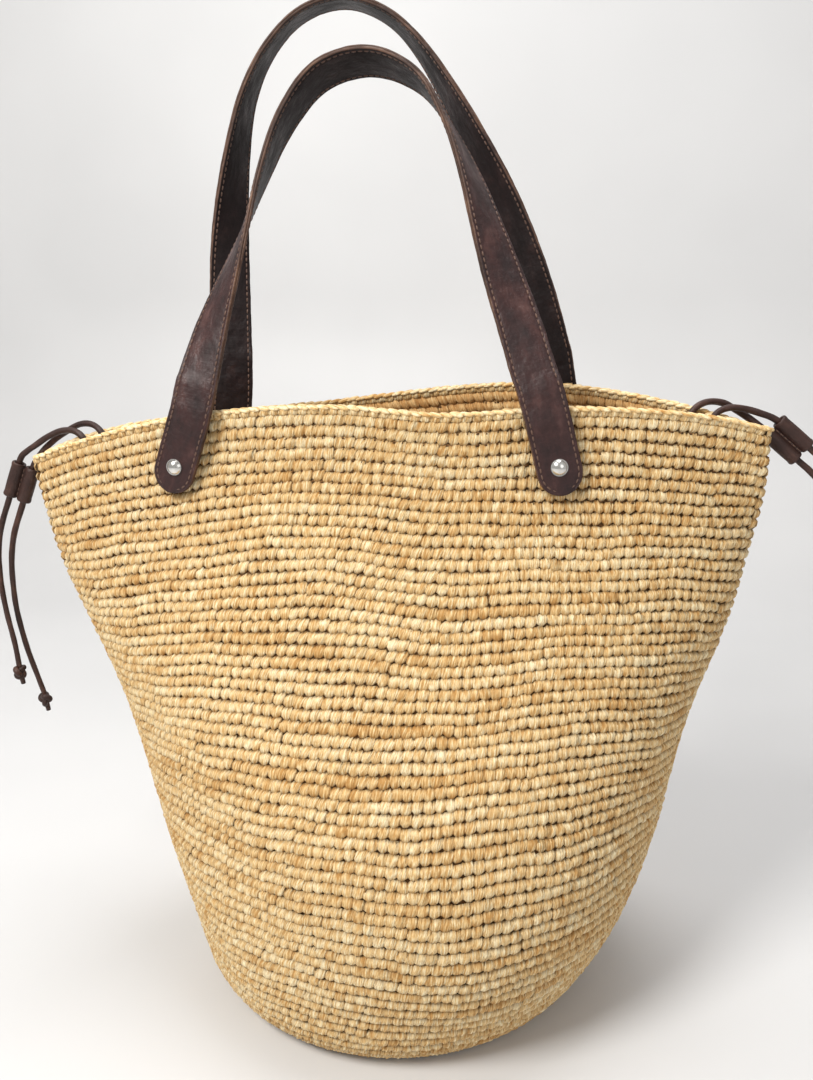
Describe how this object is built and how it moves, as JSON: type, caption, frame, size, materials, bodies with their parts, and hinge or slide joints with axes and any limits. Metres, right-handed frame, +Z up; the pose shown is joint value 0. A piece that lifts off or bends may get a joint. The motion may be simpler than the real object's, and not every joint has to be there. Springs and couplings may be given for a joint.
{
  "type": "beach bag",
  "caption": "Crocheted raffia beach bag with a round base, a flaring body, two leather arch handles and a drawstring with slider at each corner.",
  "frame": {"origin": "under the middle of the mouth, on the surface the bag stands on", "axes": "+Z up, +X along the mouth to the right seen from the front, the front faces -Y"},
  "size_m": [0.6034, 0.308, 0.6581],
  "materials": {
    "raffia": "dry raffia, single crochet",
    "strap_leather": "semi-gloss dark brown",
    "lining_leather": "satin dark brown",
    "lace_leather": "satin dark brown",
    "thread": "waxed brown thread",
    "nickel": "polished nickel"
  },
  "bodies": {
    "bag": {"base_disc": "raffia", "side_wall": "raffia", "rim_edging": "raffia", "front_left_tab_outer": "strap_leather", "front_left_tab_lining": "lining_leather", "front_left_tab_stitching": "thread", "front_right_tab_outer": "strap_leather", "front_right_tab_lining": "lining_leather", "front_right_tab_stitching": "thread", "back_left_tab_outer": "strap_leather", "back_left_tab_lining": "lining_leather", "back_left_tab_stitching": "thread", "back_right_tab_outer": "strap_leather", "back_right_tab_lining": "lining_leather", "back_right_tab_stitching": "thread", "front_left_washer": "lining_leather", "front_right_washer": "lining_leather", "back_left_washer": "lining_leather", "back_right_washer": "lining_leather", "rivet_studs": "nickel", "rivet_caps": "nickel", "left_lace_loop": "lace_leather", "left_lace_outer_end": "lace_leather", "left_lace_inner_end": "lace_leather", "left_outer_knot": "lace_leather", "left_inner_knot": "lace_leather", "right_lace_loop": "lace_leather", "right_lace_outer_end": "lace_leather", "right_lace_inner_end": "lace_leather", "right_outer_knot": "lace_leather", "right_inner_knot": "lace_leather"},
    "front_handle": {"front_handle_outer": "strap_leather", "front_handle_lining": "lining_leather", "front_handle_stitching": "thread"},
    "back_handle": {"back_handle_outer": "strap_leather", "back_handle_lining": "lining_leather", "back_handle_stitching": "thread"},
    "left_slider": {"left_slider": "lace_leather"},
    "right_slider": {"right_slider": "lace_leather"}
  },
  "joints": [
    {"name": "front_handle_swing", "type": "hinge", "parent": "bag", "child": "front_handle", "pos_m": [0, -0.04412, 0.40673], "axis": [1, 0, 0], "range_deg": [-1, 165]},
    {"name": "back_handle_swing", "type": "hinge", "parent": "bag", "child": "back_handle", "pos_m": [0, 0.04326, 0.41487], "axis": [-1, 0, 0], "range_deg": [-1, 138]},
    {"name": "left_slider_travel", "type": "slide", "parent": "bag", "child": "left_slider", "axis": [-0.3714, 0, -0.9285], "range_m": [0, 0.02]},
    {"name": "right_slider_travel", "type": "slide", "parent": "bag", "child": "right_slider", "axis": [0.7682, 0, -0.6402], "range_m": [0, 0.01]}
  ]
}
